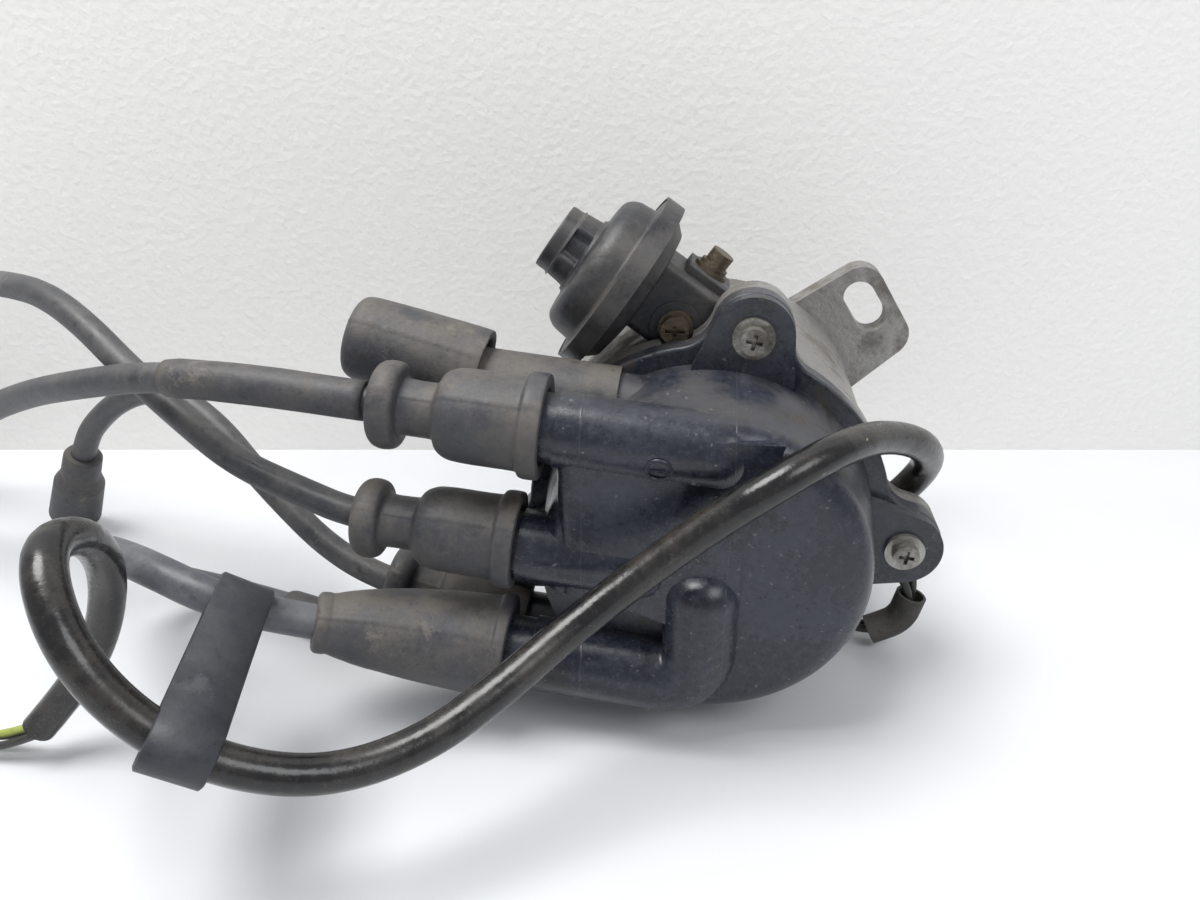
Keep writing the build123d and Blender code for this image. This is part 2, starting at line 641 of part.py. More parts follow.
with BuildPart() as vac_cover:
    add(turned(vac_plane, [(0, -nub_end), (nub_r - 0.8, -nub_end), (nub_r, -nub_end + 0.8), (nub_r, -15.2), (6.4, -14.6),
                           (6.4, -cover_depth), (13.6, -cover_depth), (16.6, -7.8), (cover_r, -5.2), (cover_r, -1.3),
                           (rim_r - 0.7, -1.2), (rim_r - 0.7, 0), (0, 0)]))
    for k in range(4):
        with BuildSketch(Plane(origin=vac_plane.origin, x_dir=vac_plane.x_dir, z_dir=vac_plane.z_dir)
                         .offset(-15.0)):
            with Locations(Location((0, 0, 0), 45 + 90 * k)):
                with Locations((6.6, 0)):
                    Rectangle(2.6, 2.2)
        extrude(amount=7)
    with BuildSketch(vac_plane.offset(-5.0)):
        with Locations((17.0, -6.0)):
            Rectangle(5.0, 5.0)
    extrude(amount=3.5)
    add(turned(vac_plane, [(0, -7.0), (14.0, -7.0), (16.0, -5.0), (16.4, 0), (0, 0)]), mode=Mode.SUBTRACT)
    with BuildSketch(Plane(origin=vac_point(-4.8, -5.0, vac_y + 14), z_dir=(0, 1, 0))):
        Circle(3.4)
    extrude(amount=nipple_root - vac_y - 14)
    with BuildSketch(Plane(origin=vac_point(-4.8, -5.0, nipple_root), z_dir=(0, 1, 0))):
        Circle(nipple_r)
    extrude(amount=nipple_len)
    with BuildSketch(Plane(origin=vac_point(-4.8, -5.0, vac_y + 12), z_dir=(0, 1, 0))):
        Circle(nipple_r / 2)
    extrude(amount=nipple_root + nipple_len - vac_y - 12, mode=Mode.SUBTRACT)
save(vac_cover.part, "vacuum_cover")
with BuildPart() as diaphragm:
    add(turned(vac_plane, [(0, 0.05), (rim_r - 0.75, 0.05), (rim_r - 0.75, 0.85), (0, 0.85)]))
    with BuildSketch(vac_plane):
        Circle(1.8)
    extrude(amount=1, mode=Mode.SUBTRACT)
save(diaphragm.part, "diaphragm")
with BuildPart() as vac_spring:
    with BuildLine():
        spiral = Helix(pitch=1.9, height=5.7, radius=6.2, center=vac_point(-6.6), direction=(vac_d[0], 0, vac_d[1]))
    with BuildSketch(Plane(origin=spiral @ 0, z_dir=spiral % 0)):
        Circle(0.4)
    sweep(path=spiral, is_frenet=True)
save(vac_spring.part, "vacuum_spring")
with BuildPart() as rod:
    add(turned(vac_plane, [(0, -0.2), (1.75, -0.2), (1.75, 0.9), (10.0, 0.9), (10.0, 1.7), (0, 1.7)]))
    with BuildSketch(vac_plane.offset(1.5)):
        with Locations((0, rod_up)):
            Rectangle(2.0, 4.6)
    extrude(amount=vac_reach - 1.5)
    with BuildSketch(Plane(origin=vac_point(vac_reach, rod_up, vac_y - 1), x_dir=(vac_d[0], 0, vac_d[1]),
                           z_dir=(0, 1, 0))):
        Circle(4.3)
    extrude(amount=2)
    with BuildSketch(Plane(origin=vac_point(vac_reach, rod_up, vac_y - 3), x_dir=(-vac_d[1], 0, vac_d[0]), z_dir=(0, 1, 0))):
        SlotOverall(5.2, 4.1)
    extrude(amount=6, mode=Mode.SUBTRACT)
save(rod.part, "vacuum_rod")
with BuildPart() as vac_screws:
    for start, r, tall in ((-52.0, 2.0, 13.5), (-64.6, 4.2, 0.9), (-65.5, 3.4, 2.8)):
        with BuildSketch(level(start)):
            with Locations((screw_a[0], screw_a[2])):
                Circle(r)
        extrude(amount=tall)
    with BuildSketch(level(-68.3)):
        with Locations((screw_a[0], screw_a[2])):
            Rectangle(4.6, 0.9)
            Rectangle(0.9, 2.6)
    extrude(amount=-1.4, mode=Mode.SUBTRACT)
    for start, r, tall in ((7.4, 2.0, 9.0), (15.5, 4.4, 0.9), (16.4, 3.6, 1.1), (17.5, 2.9, 3.4)):
        with BuildSketch(Plane(origin=vac_point(screw_b_t, start), x_dir=(0, 1, 0), z_dir=(-vac_d[1], 0, vac_d[0]))):
            Circle(r)
        extrude(amount=tall)
save(vac_screws.part, "vacuum_screws")

# ================= leads: one list of points per cord =================
cords = {
    "lead_a": (lead_r, [(-52.5, -100, 34.3), (-76.8, -100, 36.8), (-101.3, -100, 39.4), (-125.7, -97.8, 39.3),
                        (-148.8, -91.5, 33.7), (-170.1, -81.6, 26.5), (-191, -72.5, 17.5), (-211, -63.8, 6.4),
                        (-230.2, -55.8, -6.4), (-246, -50.5, -19), (-262, -47, -31), (-280, -44, -37.3),
                        (-304, -40, -37.3)]),
    "lead_b": (lead_r, [(-61.5, -100, 6), (-79.3, -100.6, 7.9), (-95.4, -96.6, 11.6), (-111.7, -93.6, 16.7),
                        (-125.9, -89.6, 26.3), (-140, -84.4, 35.3), (-153.8, -77, 43.4), (-168.6, -69.1, 48.3),
                        (-184.2, -60.8, 48.1), (-199.5, -52.5, 46.2), (-214.3, -44.8, 40.4), (-227.4, -38.2, 30.7),
                        (-239.2, -32.5, 18.9), (-249.6, -27.3, 5.8), (-258, -22.5, -9), (-268, -17, -24),
                        (-284, -10, -37.3), (-306, -2, -37.3)]),
    "lead_coil": (coil_lead_r, [(-71.7, -108.6, -18.2), (-90.5, -112.7, -13.8), (-104.2, -122.3, -2.9),
                                (-123.5, -117.3, 1.7), (-140, -106, -3), (-153, -90, -14), (-153, -74, -31.5),
                                (-131, -68.5, -39.8), (-107, -76, -39.8)]),
    "lead_e": (lead_r, [(-60.5, -78.9, -29.6), (-74.7, -79.5, -26.2), (-88.8, -78.3, -22.4), (-101.5, -74.7, -16.8),
                        (-112.6, -70.7, -8.3), (-123.2, -66.5, 0.7), (-133.4, -61.4, 9.7), (-145.8, -56.7, 16.2),
                        (-159.2, -50.1, 15.5), (-172.1, -45.6, 10.3), (-183.5, -41.3, 2.4), (-193.9, -37.6, -7.3),
                        (-200.5, -35, -20)]),
    "harness_sheath": (harness_r, [(28.5, -57.2, -6.8), (45.5, -57.2, -6.6), (55.3, -61.8, 9.7), (50, -75.3, 21.9),
                                   (38.3, -87, 28.9), (26.7, -103.2, 33.1), (14, -113.8, 29.8),
                                   (-0.6, -115.5, 18.7), (-13.9, -119.2, 8.5), (-27, -127, -0.2),
                                   (-38.5, -138.4, -6.7), (-51.1, -149, -12.4), (-66.1, -158.3, -13.2),
                                   (-81.6, -164.2, -7), (-95.7, -165.9, 3.4), (-105.8, -164.5, 17.9),
                                   (-115, -153.4, 29.4), (-119.7, -136.5, 22.1), (-124.3, -126.8, 8),
                                   (-130.4, -124.4, -8.4), (-138.8, -126.1, -23.8), (-150.2, -130.4, -36.2)]),
}
tubes = {}
for name, (r, points) in cords.items():
    tubes[name] = corded(r, points)
    save(tubes[name], name)

# ================= rubber boots on the towers =================
plug_outline = [(11.7, 0), (11.7, 4.4), (10.3, 5.0), (10.0, 18), (8.8, 21), (6.4, 23.3), (6.1, 30.4), (7.2, 31.2),
                (9.3, 32.0), (9.7, 34.2), (8.9, 36.8), (6.0, 38)]
slim_outline = [(r - 0.5 if r > 8 else r, t) for r, t in plug_outline]
rear_outline = [(9.3, 0), (9.3, 6), (9.7, 9), (9.8, 17)] + plug_outline[4:]
elbow_outline = [(11.0, 0), (10.6, 14), (10.2, 26), (9.2, 30), (6.5, 32)]
far_outline = [(4.6, 0), (5.0, 1), (5.2, 8), (6.6, 12), (6.8, 38), (7.2, 38.6), (7.2, 42)]


def boot(name, plane, outline, *cuts):
    """Turned rubber boot with its seat and lead bore cut out."""
    with BuildPart() as body:
        add(turned(plane, [(0, 0)] + outline + [(0, outline[-1][1])]))
        for cut in cuts:
            add(cut, mode=Mode.SUBTRACT)
    save(body.part, name)


def seat(key, x_from, fit=0.03):
    """Space a tower's necked end takes up inside a boot, from x_from to the open end."""
    frame = axis_of[key]
    return turned(frame, [(0, along(frame, x_from)), (radius_of[key] - seat_step + fit, along(frame, x_from)),
                          (radius_of[key] - seat_step + fit, along(frame, tower_end[key]) + 0.05),
                          (0, along(frame, tower_end[key]) + 0.05)])


def ray(start, to, back=0.0):
    """Plane whose z runs from start to the next point, moved back along it."""
    z = (Vector(to) - Vector(start)).normalized()
    return Plane(origin=Vector(start) - z * back, x_dir=z.cross(Vector(0.2, 0.3, 1)), z_dir=z)


boot("boot_one", axis_of["one"].offset(along(axis_of["one"], -35.2)), plug_outline, seat("one", -34), tubes["lead_a"])
boot("boot_two", ray((-42.1, -100, 3.9), (-82.1, -100, 8.1)), slim_outline, seat("two", -41), tubes["lead_b"])
# the coil boot bends: square on the tower at its lip, then forward along the lead
on_tower, on_lead = coil_axis.z_dir, Vector(-31, -9.4, 9)
coil_rings = [((-45, -103, -24.5), on_tower, 12.1), ((-57, -103, -23.2), on_tower, 11.5),
              ((-66, -104.6, -21.5), on_tower + on_lead.normalized(), 11.0), ((-76, -108.0, -18.0), on_lead, 9.9),
              ((-82, -110.1, -16.1), on_lead, 9.0), ((-86.6, -111.7, -14.8), on_lead, 7.0),
              ((-89.5, -112.5, -13.9), on_lead, 6.3)]
with BuildPart() as coil_boot:
    for centre, towards, r in coil_rings:
        with BuildSketch(Plane(origin=centre, x_dir=(0, 0, 1), z_dir=towards)):
            Circle(r)
    loft()
    add(turned(coil_axis.offset(along(coil_axis, -45)), [(0, 0), (12.8, 0), (12.8, 4), (0, 4)]))
    add(seat("coil", -43.7), mode=Mode.SUBTRACT)
    add(tubes["lead_coil"], mode=Mode.SUBTRACT)
save(coil_boot.part, "boot_coil")
boot("boot_five", ray((-46, rear_row_y, -32.9), (-80, rear_row_y, -23.8)), rear_outline, seat("five", -43),
     tubes["lead_e"])
four = axis_of["four"]
sleeve_turn = [(rear_tower_r + 0.03, along(four, -22)), (9.2, along(four, -22)), (9.2, along(four, -64)),
               (rear_tower_r - seat_step + 0.03, along(four, -64)), (rear_tower_r - seat_step + 0.03, along(four, -37.6)),
               (rear_tower_r + 0.03, along(four, -37.15))]
dome_room = lathe([(0, -60), (flange_r + 0.1, -60), (flange_r + 0.1, cap_flange_front - 0.05),
                   (dome_base_r + 0.05, cap_flange_front - 0.05), (dome_face_r + 0.05, face_y - 1), (0, face_y - 1)])
with BuildPart() as tower_sleeve:
    add(turned(four, sleeve_turn))
    add(dome_room, mode=Mode.SUBTRACT)
save(tower_sleeve.part, "tower_sleeve_four")
sleeve_room = turned(four, [(0, along(four, -40)), (9.25, along(four, -40)), (9.25, along(four, -64.1)),
                            (0, along(four, -64.1))])
# bore for the fourth lead, which leaves the elbow at its back
elbow_bore = turned(Plane(origin=(-76, -78, 41.6), x_dir=(1, 0, 0), z_dir=(0, 1, 0)),
                    [(0, 0), (lead_r, 0), (lead_r, 20), (0, 20)])
boot("elbow_boot", ray((-54.2, -78, 35.3), (-84.2, -78, 43.9)), elbow_outline, sleeve_room, elbow_bore)

# loose rubber sleeve over the first stretch of lead A
with BuildPart() as lead_sleeve:
    add(corded(sleeve_r, cords["lead_a"][1][:5]))
    with Locations((-96.7, -100, 38)):
        Box(46.4, 40, 40, mode=Mode.INTERSECT)
    add(tubes["lead_a"], mode=Mode.SUBTRACT)
save(lead_sleeve.part, "lead_sleeve")

# ================= far ends of the leads =================
with BuildPart() as plugs:
    for key in ("lead_a", "lead_b"):
        last, end = cords[key][1][-2:]
        frame = ray(end, Vector(end) * 2 - Vector(last))
        add(turned(frame.offset(-14), [(0, 0)] + far_outline + [(0, far_outline[-1][1])]))
        add(turned(frame, [(0, 8), (2.6, 8), (2.6, 29), (0, 29)]), mode=Mode.SUBTRACT)
        add(tubes[key], mode=Mode.SUBTRACT)
save(plugs.part, "plug_boots")
last, end = cords["lead_e"][1][-2:]
boot("plug_boot_e", ray(end, Vector(end) * 2 - Vector(last), 7.0),
     [(5.0, 0), (5.6, 1), (5.8, 9), (7.4, 13), (7.8, 28)],
     turned(ray(end, Vector(end) * 2 - Vector(last)), [(0, 6), (2.6, 6), (2.6, 22), (0, 22)]), tubes["lead_e"])
last, end = cords["lead_coil"][1][-2:]
boot("coil_end_plug", ray(end, Vector(end) * 2 - Vector(last), 9.0), [(4.9, 0), (5.1, 1), (5.1, 20), (4.4, 24)],
     turned(ray(end, Vector(end) * 2 - Vector(last)), [(0, 2), (2.6, 2), (2.6, 16), (0, 16)]), tubes["lead_coil"])

# ================= harness fittings, strap, loose wires =================
with BuildPart() as grommet:
    add(turned(Plane(origin=(0, *harness_hole), x_dir=(0, 1, 0), z_dir=(1, 0, 0)),
               [(0, bowl_r - 5.6), (hole_r - 0.05, bowl_r - 5.6), (hole_r - 0.05, bowl_r), (6.8, bowl_r),
                (6.8, bowl_r + 1.6), (4.9, bowl_r + 3.4), (0, bowl_r + 3.4)]))
    add(tubes["harness_sheath"], mode=Mode.SUBTRACT)
save(grommet.part, "harness_grommet")

strap_lead, strap_harness = Vector(-100.9, -120.0, -5.3), Vector(-90.0, -165.2, -1.6)
strap_axis = Vector(-0.85, -0.12, 0.51).normalized()
strap_w, strap_t = 13.0, 1.6
strap_plane = Plane(origin=strap_lead - strap_axis * strap_w / 2, x_dir=strap_harness - strap_lead, z_dir=strap_axis)
strap_far = strap_plane.to_local_coords(strap_harness)


def band(grow):
    """Racetrack round the coil lead and the harness."""
    with BuildPart() as body:
        with BuildSketch(strap_plane):
            Circle(coil_lead_r + 0.6 + grow)
            with Locations((strap_far.X, strap_far.Y)):
                Circle(harness_r + 0.5 + grow)
            make_hull()
        extrude(amount=strap_w)
    return body.part


with BuildPart() as strap:
    add(band(strap_t))
    for inside in (band(0), tubes["lead_coil"], tubes["harness_sheath"]):
        add(inside, mode=Mode.SUBTRACT)
save(strap.part, "strap")

sheath_last, sheath_end = cords["harness_sheath"][1][-2:]
sheath_plane = Plane(origin=sheath_end, x_dir=(0, 1, 0), z_dir=Vector(sheath_end) - Vector(sheath_last))
for name, dy, dz in zip(("black", "brown", "green"), (-1.6, 1.5, 0.1), (-0.6, -0.7, 1.5)):
    start = sheath_plane.from_local_coords(Vector(dy, -dz, 0.6))
    points = [tuple(start), (-162, -131 + dy * 1.3, -41.8 + dz), (-180, -129 + dy * 1.6, -43.1 + dz * 0.4 + 0.4),
              (-203, -126 + dy * 1.6, -40.6)]
    tubes[name] = corded(wire_r, points)
save(tubes["green"], "wire_green")
save(Compound(children=[tubes["black"], tubes["brown"]]), "wires_dark")
with BuildPart() as connector:
    with BuildSketch(Plane(origin=(-198, -126, -40.6), z_dir=(-1, 0, 0))):
        RectangleRounded(9.5, 7.6, 1.0)
    extrude(amount=18)
    with BuildSketch(Plane(origin=(-216, -126, -40.6), x_dir=(0, 1, 0), z_dir=(1, 0, 0))):
        with GridLocations(2.4, 1, 3, 1):
            Circle(0.8)
    extrude(amount=9, mode=Mode.SUBTRACT)
    for wire in ("black", "brown", "green"):
        add(tubes[wire], mode=Mode.SUBTRACT)
save(connector.part, "harness_connector")

pair = [(28, -58.5, -18), (44, -59, -18.2), (54, -61, -21), (56.8, -62, -30), (54.5, -62, -37), (46.5, -62.3, -40.7),
        (37.5, -57, -41.2), (36, -45, -40), (37, -37, -39.5)]
apart = [(0, 1.3, 0), (0, 1.3, 0), (2.0, 1.3, 0), (0.4, 1.3, 0), (0, 1.3, 0), (0.3, 1.25, 0), (1.1, 0.8, 0),
         (1.3, 0, 0), (1.3, 0, 0)]
for name, side in (("one", 1), ("two", -1)):
    tubes[name] = corded(1.1, [tuple(Vector(p) + Vector(d) * side) for p, d in zip(pair, apart)])
save(Compound(children=[tubes["one"], tubes["two"]]), "pickup_wires")
wire_sleeve = corded(4.0, [(56.4, -62, -28.6), (54.6, -62, -36.7), (46.5, -62.3, -40.9)], 3.25)
save(wire_sleeve, "pickup_wire_sleeve")
with BuildPart() as small_grommet:
    add(turned(Plane(origin=(0, *wire_hole), x_dir=(0, 1, 0), z_dir=(1, 0, 0)),
               [(0, bowl_r - 9.6), (wire_hole_r - 0.05, bowl_r - 9.6), (wire_hole_r - 0.05, bowl_r - 2.1),
                (4.3, bowl_r - 2.1), (4.3, bowl_r - 0.8), (0, bowl_r - 0.8)]))
    for wire in ("one", "two"):
        add(tubes[wire], mode=Mode.SUBTRACT)
save(small_grommet.part, "pickup_grommet")
with BuildPart() as pickup_plug:
    with BuildSketch(Plane(origin=(37, -41, -39.6), z_dir=(0, 1, 0))):
        RectangleRounded(7.0, 8.0, 0.8)
    extrude(amount=15)
    for wire in ("one", "two"):
        add(tubes[wire], mode=Mode.SUBTRACT)
save(pickup_plug.part, "pickup_plug")
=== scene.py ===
# %% [markdown]
# # Ignition distributor with side-exit cap
# An engine's distributor lying on a white bench: a cast aluminium bowl with a slotted ear, a moulded black
# cap whose five towers all point to one side, rubber boots and leads, a vacuum unit and a wiring harness.
# The solids come from the CAD frame. Here each of them gets its finish, and the rubber pieces get
# rounded, soft-looking shapes.

# %% Load the frame
import bpy, bmesh, math
from mathutils import Vector, Matrix, noise


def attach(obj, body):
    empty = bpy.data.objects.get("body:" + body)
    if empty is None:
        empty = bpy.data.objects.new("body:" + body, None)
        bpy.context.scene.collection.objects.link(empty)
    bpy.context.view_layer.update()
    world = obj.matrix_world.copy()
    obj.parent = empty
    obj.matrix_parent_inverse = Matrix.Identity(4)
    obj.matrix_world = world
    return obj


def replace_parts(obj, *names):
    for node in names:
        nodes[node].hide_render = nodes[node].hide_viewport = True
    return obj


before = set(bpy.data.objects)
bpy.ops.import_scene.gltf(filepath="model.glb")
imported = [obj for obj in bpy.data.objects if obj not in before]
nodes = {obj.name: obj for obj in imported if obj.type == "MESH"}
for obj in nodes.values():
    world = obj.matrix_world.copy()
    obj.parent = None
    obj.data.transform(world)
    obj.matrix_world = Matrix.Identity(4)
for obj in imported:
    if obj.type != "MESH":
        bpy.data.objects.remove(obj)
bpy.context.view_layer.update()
BODY = "distributor_body"

# %% [markdown]
# ## View
# The camera stands a hand's width above the bench and looks down at the cap, turned a little to the left.

# %% Camera and colour
YAW = math.radians(7.0)  # the view is turned by this round the upright axis, and so is the bench
PITCH = math.radians(64.5)
FOCAL_MM, SENSOR_MM = 27.18, 36.0
scene = bpy.context.scene
scene.view_settings.view_transform = "Standard"
lens = bpy.data.cameras.new("view")
lens.sensor_width, lens.lens, lens.clip_start = SENSOR_MM, FOCAL_MM, 0.005
camera = bpy.data.objects.new("view", lens)
camera.location = (-0.0021, -0.2745, 0.1117)
camera.rotation_euler = (PITCH, 0, YAW)
scene.collection.objects.link(camera)
scene.camera = camera
print("camera", tuple(round(c, 4) for c in camera.location))

# %% [markdown]
# ## Shader arithmetic
# Wear, dust and grime are sums and products of masks. Written as nodes they are hard to read, so one small
# class wraps a socket and turns `+ - *` into Math nodes. Everything else comes from `Finish.node`.

# %% Sockets that add up
class Mask:
    """A number that varies over a surface."""

    def __init__(self, finish, socket):
        self.finish, self.socket = finish, socket

    def join(self, operation, first, second):
        return self.finish.node("Math", {"operation": operation}, {0: first, 1: second})

    def __add__(self, other): return self.join("ADD", self, other)
    def __sub__(self, other): return self.join("SUBTRACT", self, other)
    def __mul__(self, other): return self.join("MULTIPLY", self, other)
    def __rsub__(self, other): return self.join("SUBTRACT", other, self)
    __radd__, __rmul__ = __add__, __mul__

    def above(self, low, high):
        """0 below low, 1 above high, smooth between."""
        return self.finish.node("MapRange", {"interpolation_type": "SMOOTHSTEP"},
                                {"Value": self, "From Min": low, "From Max": high})


class Finish:
    """A material built from a Principled shader."""

    def __init__(self, name, colour, roughness, metallic=0.0):
        self.material = bpy.data.materials.new(name)
        self.material.use_nodes = True
        self.tree = self.material.node_tree
        self.shader = next(n for n in self.tree.nodes if n.type == "BSDF_PRINCIPLED")
        self.place = self.node("TexCoord", {}, {}, out="Object")
        self.set("Base Color", (*colour, 1))
        self.set("Roughness", roughness)
        self.set("Metallic", metallic)

    def node(self, kind, settings, inputs, out=0):
        """Add a node, set its options, feed its inputs and return one of its outputs."""
        made = self.tree.nodes.new("ShaderNode" + kind)
        for key, value in settings.items():
            setattr(made, key, value)
        for key, value in inputs.items():
            self.link(made.inputs[key], value)
        return Mask(self, made.outputs[out])

    def link(self, socket, value):
        if isinstance(value, Mask):
            self.tree.links.new(value.socket, socket)
        else:
            socket.default_value = value

    def set(self, name, value):
        self.link(self.shader.inputs[name], value)

    def noise(self, scale, detail=4.0, roughness=0.55, stretch=None):
        """Cloudy mask around 0.5; scale is in lumps per metre."""
        place = self.place
        if stretch:
            place = self.node("Mapping", {}, {"Vector": place, "Scale": stretch})
        return self.node("TexNoise", {},
                         {"Vector": place, "Scale": scale, "Detail": detail, "Roughness": roughness})

    def cells(self, scale, feature="F1"):
        return self.node("TexVoronoi", {"feature": feature}, {"Vector": self.place, "Scale": scale},
                         out="Distance")

    def along(self, letter):
        """Distance from the origin along X, Y or Z, in metres."""
        return self.node("SeparateXYZ", {}, {"Vector": self.place}, out=letter)

    def line(self, letter, at, half_width=0.00012):
        """1 on a thin plane square to an axis, which shows as a line on the skin."""
        off = self.along(letter) - at
        return 1 - (off * off).above((half_width * 0.5) ** 2, (half_width * 1.8) ** 2)

    def facing_up(self):
        """1 on faces that look up, 0 on those that look down."""
        normal = self.node("NewGeometry", {}, {}, out="Normal")
        return self.node("SeparateXYZ", {}, {"Vector": normal}, out="Z").above(-0.3, 0.9)

    def blend(self, mask, first, second):
        """Colour that is first where mask is 0 and second where it is 1."""
        first, second = [c if isinstance(c, Mask) else (*c, 1) for c in (first, second)]
        return self.node("Mix", {"data_type": "RGBA"}, {0: mask, 6: first, 7: second}, out=2)

    def bump(self, height, strength, distance):
        normal = self.node("Bump", {}, {"Height": height, "Strength": strength, "Distance": distance},
                           out="Normal")
        self.set("Normal", normal)


print("shader words ready")

# %% [markdown]
# ## Bench and light
# The bench is a smooth white board and the wall behind it a white paper with a fine emboss. Both are pale,
# so the light on the part can stay at a plain level. The wall is see-through from its back.

# %% Bench, wall, lamps
def board(name, corners, finish):
    mesh = bpy.data.meshes.new(name)
    mesh.from_pydata(corners, [], [(0, 1, 2, 3)])
    mesh.materials.append(finish.material)
    made = bpy.data.objects.new(name, mesh)
    scene.collection.objects.link(made)


FLOOR = -0.0452
BENCH_WHITE, BENCH_SHADE = (0.70, 0.71, 0.73), (0.66, 0.67, 0.70)
white = Finish("bench white", BENCH_WHITE, 0.32)
white.set("Base Color", white.blend(white.noise(9).above(0.35, 0.7), BENCH_WHITE, BENCH_SHADE))
paper = Finish("wall paper", (0.83, 0.82, 0.80), 0.9)
paper.bump(paper.noise(520, 3) + paper.cells(330) * 0.6, 0.35, 0.0006)
back = paper.node("NewGeometry", {}, {}, out="Backfacing")
clear = paper.node("BsdfTransparent", {}, {})
seen = paper.node("MixShader", {}, {0: back, 1: Mask(paper, paper.shader.outputs[0]), 2: clear})
paper.link(next(n for n in paper.tree.nodes if n.type == "OUTPUT_MATERIAL").inputs["Surface"], seen)

half = Vector((math.cos(YAW), math.sin(YAW), 0)) * 1.3  # half of the bench's width
away = Vector((-math.sin(YAW), math.cos(YAW), 0))
foot = Vector((-0.0421, 0.0522, FLOOR))  # middle of the wall's lower edge
front, behind, wall_top = foot - away * 1.2, foot + away * 0.5, foot + Vector((0, 0, 0.9))
board("bench", [front - half, front + half, behind + half, behind - half], white)
board("wall", [foot - half, foot + half, wall_top + half, wall_top - half], paper)


def lamp(name, place, towards, size, power, tint):
    light = bpy.data.lights.new(name, "AREA")
    light.shape, light.size, light.energy, light.color = "DISK", size, power, tint
    made = bpy.data.objects.new(name, light)
    made.location = place
    made.rotation_euler = (Vector(towards) - Vector(place)).to_track_quat("-Z", "Y").to_euler()
    scene.collection.objects.link(made)


lamp("window", (-0.35, -0.20, 0.95), (-0.03, -0.08, 0), 0.60, 11.0, (1.0, 0.995, 0.98))
lamp("room", (0.55, -0.55, 0.75), (0, -0.08, 0), 0.55, 3.6, (0.97, 0.985, 1.0))
world = bpy.data.worlds.new("studio")
scene.world = world
world.use_nodes = True
sky = world.node_tree.nodes["Background"]
sky.inputs["Color"].default_value, sky.inputs["Strength"].default_value = (0.94, 0.96, 1.0, 1), 0.45
print("bench at", FLOOR)

# %% [markdown]
# ## Moulded black cap
# Phenolic resin comes out of the mould black and glossy; the blue-grey cast of the colour here is a painted
# reflection of the sky. Years in an engine bay leave grey dust on what faces up, dull smears, fine scratches
# and a few chips of pale paint, so gloss and colour both follow masks.

# %% Cap finish
cap_black = Finish("phenolic", (0.022, 0.026, 0.034), 0.3)
film = cap_black.noise(38, 6, 0.6).above(0.38, 0.66)
behind_face = cap_black.along("Y").above(-0.1045, -0.0985)  # dust is wiped off the face itself
dust = cap_black.facing_up() * behind_face * cap_black.noise(48, 6, 0.62).above(0.34, 0.62)
grime = cap_black.noise(62, 7, 0.7).above(0.56, 0.66) * behind_face
grease = cap_black.noise(30, 6, 0.7, (1.3, 1.0, 1.0)).above(0.55, 0.70)
speck = cap_black.noise(760, 2).above(0.68, 0.75)
edge = cap_black.cells(110, "DISTANCE_TO_EDGE").above(0.0, 0.008)
scratch = (1 - edge) * cap_black.noise(150, 4, 0.7).above(0.62, 0.70)
parting = cap_black.line("X", -0.0268) + cap_black.line("X", 0.0052)
mottle = cap_black.noise(520, 6, 0.8)
# Painted reflection: the blue-grey tint of both film tones stands in for sky reflected in the cap; the
# patches between the two tones are random surface film.
tone = cap_black.blend(film, (0.014, 0.017, 0.027), (0.027, 0.032, 0.047))
tone = cap_black.blend(mottle.above(0.50, 0.66) * 0.55, tone, (0.052, 0.056, 0.068))
tone = cap_black.blend(mottle.above(0.50, 0.38) * 0.50, tone, (0.005, 0.006, 0.008))
tone = cap_black.blend(grease, tone, (0.005, 0.005, 0.006))
tone = cap_black.blend(dust * 0.65, tone, (0.075, 0.072, 0.072))
tone = cap_black.blend(grime * 0.75, tone, (0.055, 0.045, 0.036))
tone = cap_black.blend(speck * 0.4, tone, (0.26, 0.25, 0.23))
tone = cap_black.blend(scratch * 0.35, tone, (0.10, 0.10, 0.11))
tone = cap_black.blend(parting * 0.28, tone, (0.06, 0.065, 0.08))
cap_black.set("Base Color", tone)
matt = mottle * 0.16 + film * 0.08 - grease * 0.07 + dust * 0.30 + grime * 0.25 + scratch * 0.15
cap_black.set("Roughness", 0.15 + matt)
cap_black.bump(mottle * 0.9 + cap_black.noise(120, 4) + parting * 0.5 - grime * 0.4, 0.25, 0.0003)
print("cap finish", len(cap_black.tree.nodes), "nodes")

# %% [markdown]
# ## Rubber
# One recipe serves every rubber piece: a dark base, grey-brown dust that clings to what faces up, worn dull
# patches and fine pores. Only the shades differ, so it is a function of those.

# %% Rubber finishes
def rubber(name, dark, dusty, roughness=0.62, amount=0.7, pores=0.35, chips=0.0):
    made = Finish(name, dark, roughness)
    film = made.facing_up() * 0.5 + 0.5
    film = film * made.noise(60, 7, 0.66).above(0.36, 0.64)
    rub = made.noise(170, 6, 0.72).above(0.53, 0.66)
    caked = made.noise(42, 7, 0.74).above(0.60, 0.66)
    tone = made.blend(film * amount, dark, dusty)
    tone = made.blend(rub * 0.45, tone, [c * 0.45 for c in dark])
    tone = made.blend(caked * 0.5, tone, [c * 1.5 for c in dusty])
    grain = made.noise(640, 6, 0.8)
    tone = made.blend(grain.above(0.52, 0.70) * 0.22, tone, [c * 1.5 for c in dusty])
    tone = made.blend(grain.above(0.46, 0.32) * 0.55, tone, [c * 0.3 for c in dark])
    if chips:
        paint = made.noise(330, 2).above(0.72, 0.74) * made.noise(25, 2).above(0.56, 0.60)
        tone = made.blend(paint * chips, tone, (0.42, 0.36, 0.24))
    made.set("Base Color", tone)
    made.set("Roughness", roughness - rub * 0.12 + film * 0.12 + caked * 0.1)
    made.bump(made.noise(1500, 3) * pores + made.noise(240, 4) + caked * 0.4, 0.4, 0.0004)
    return made


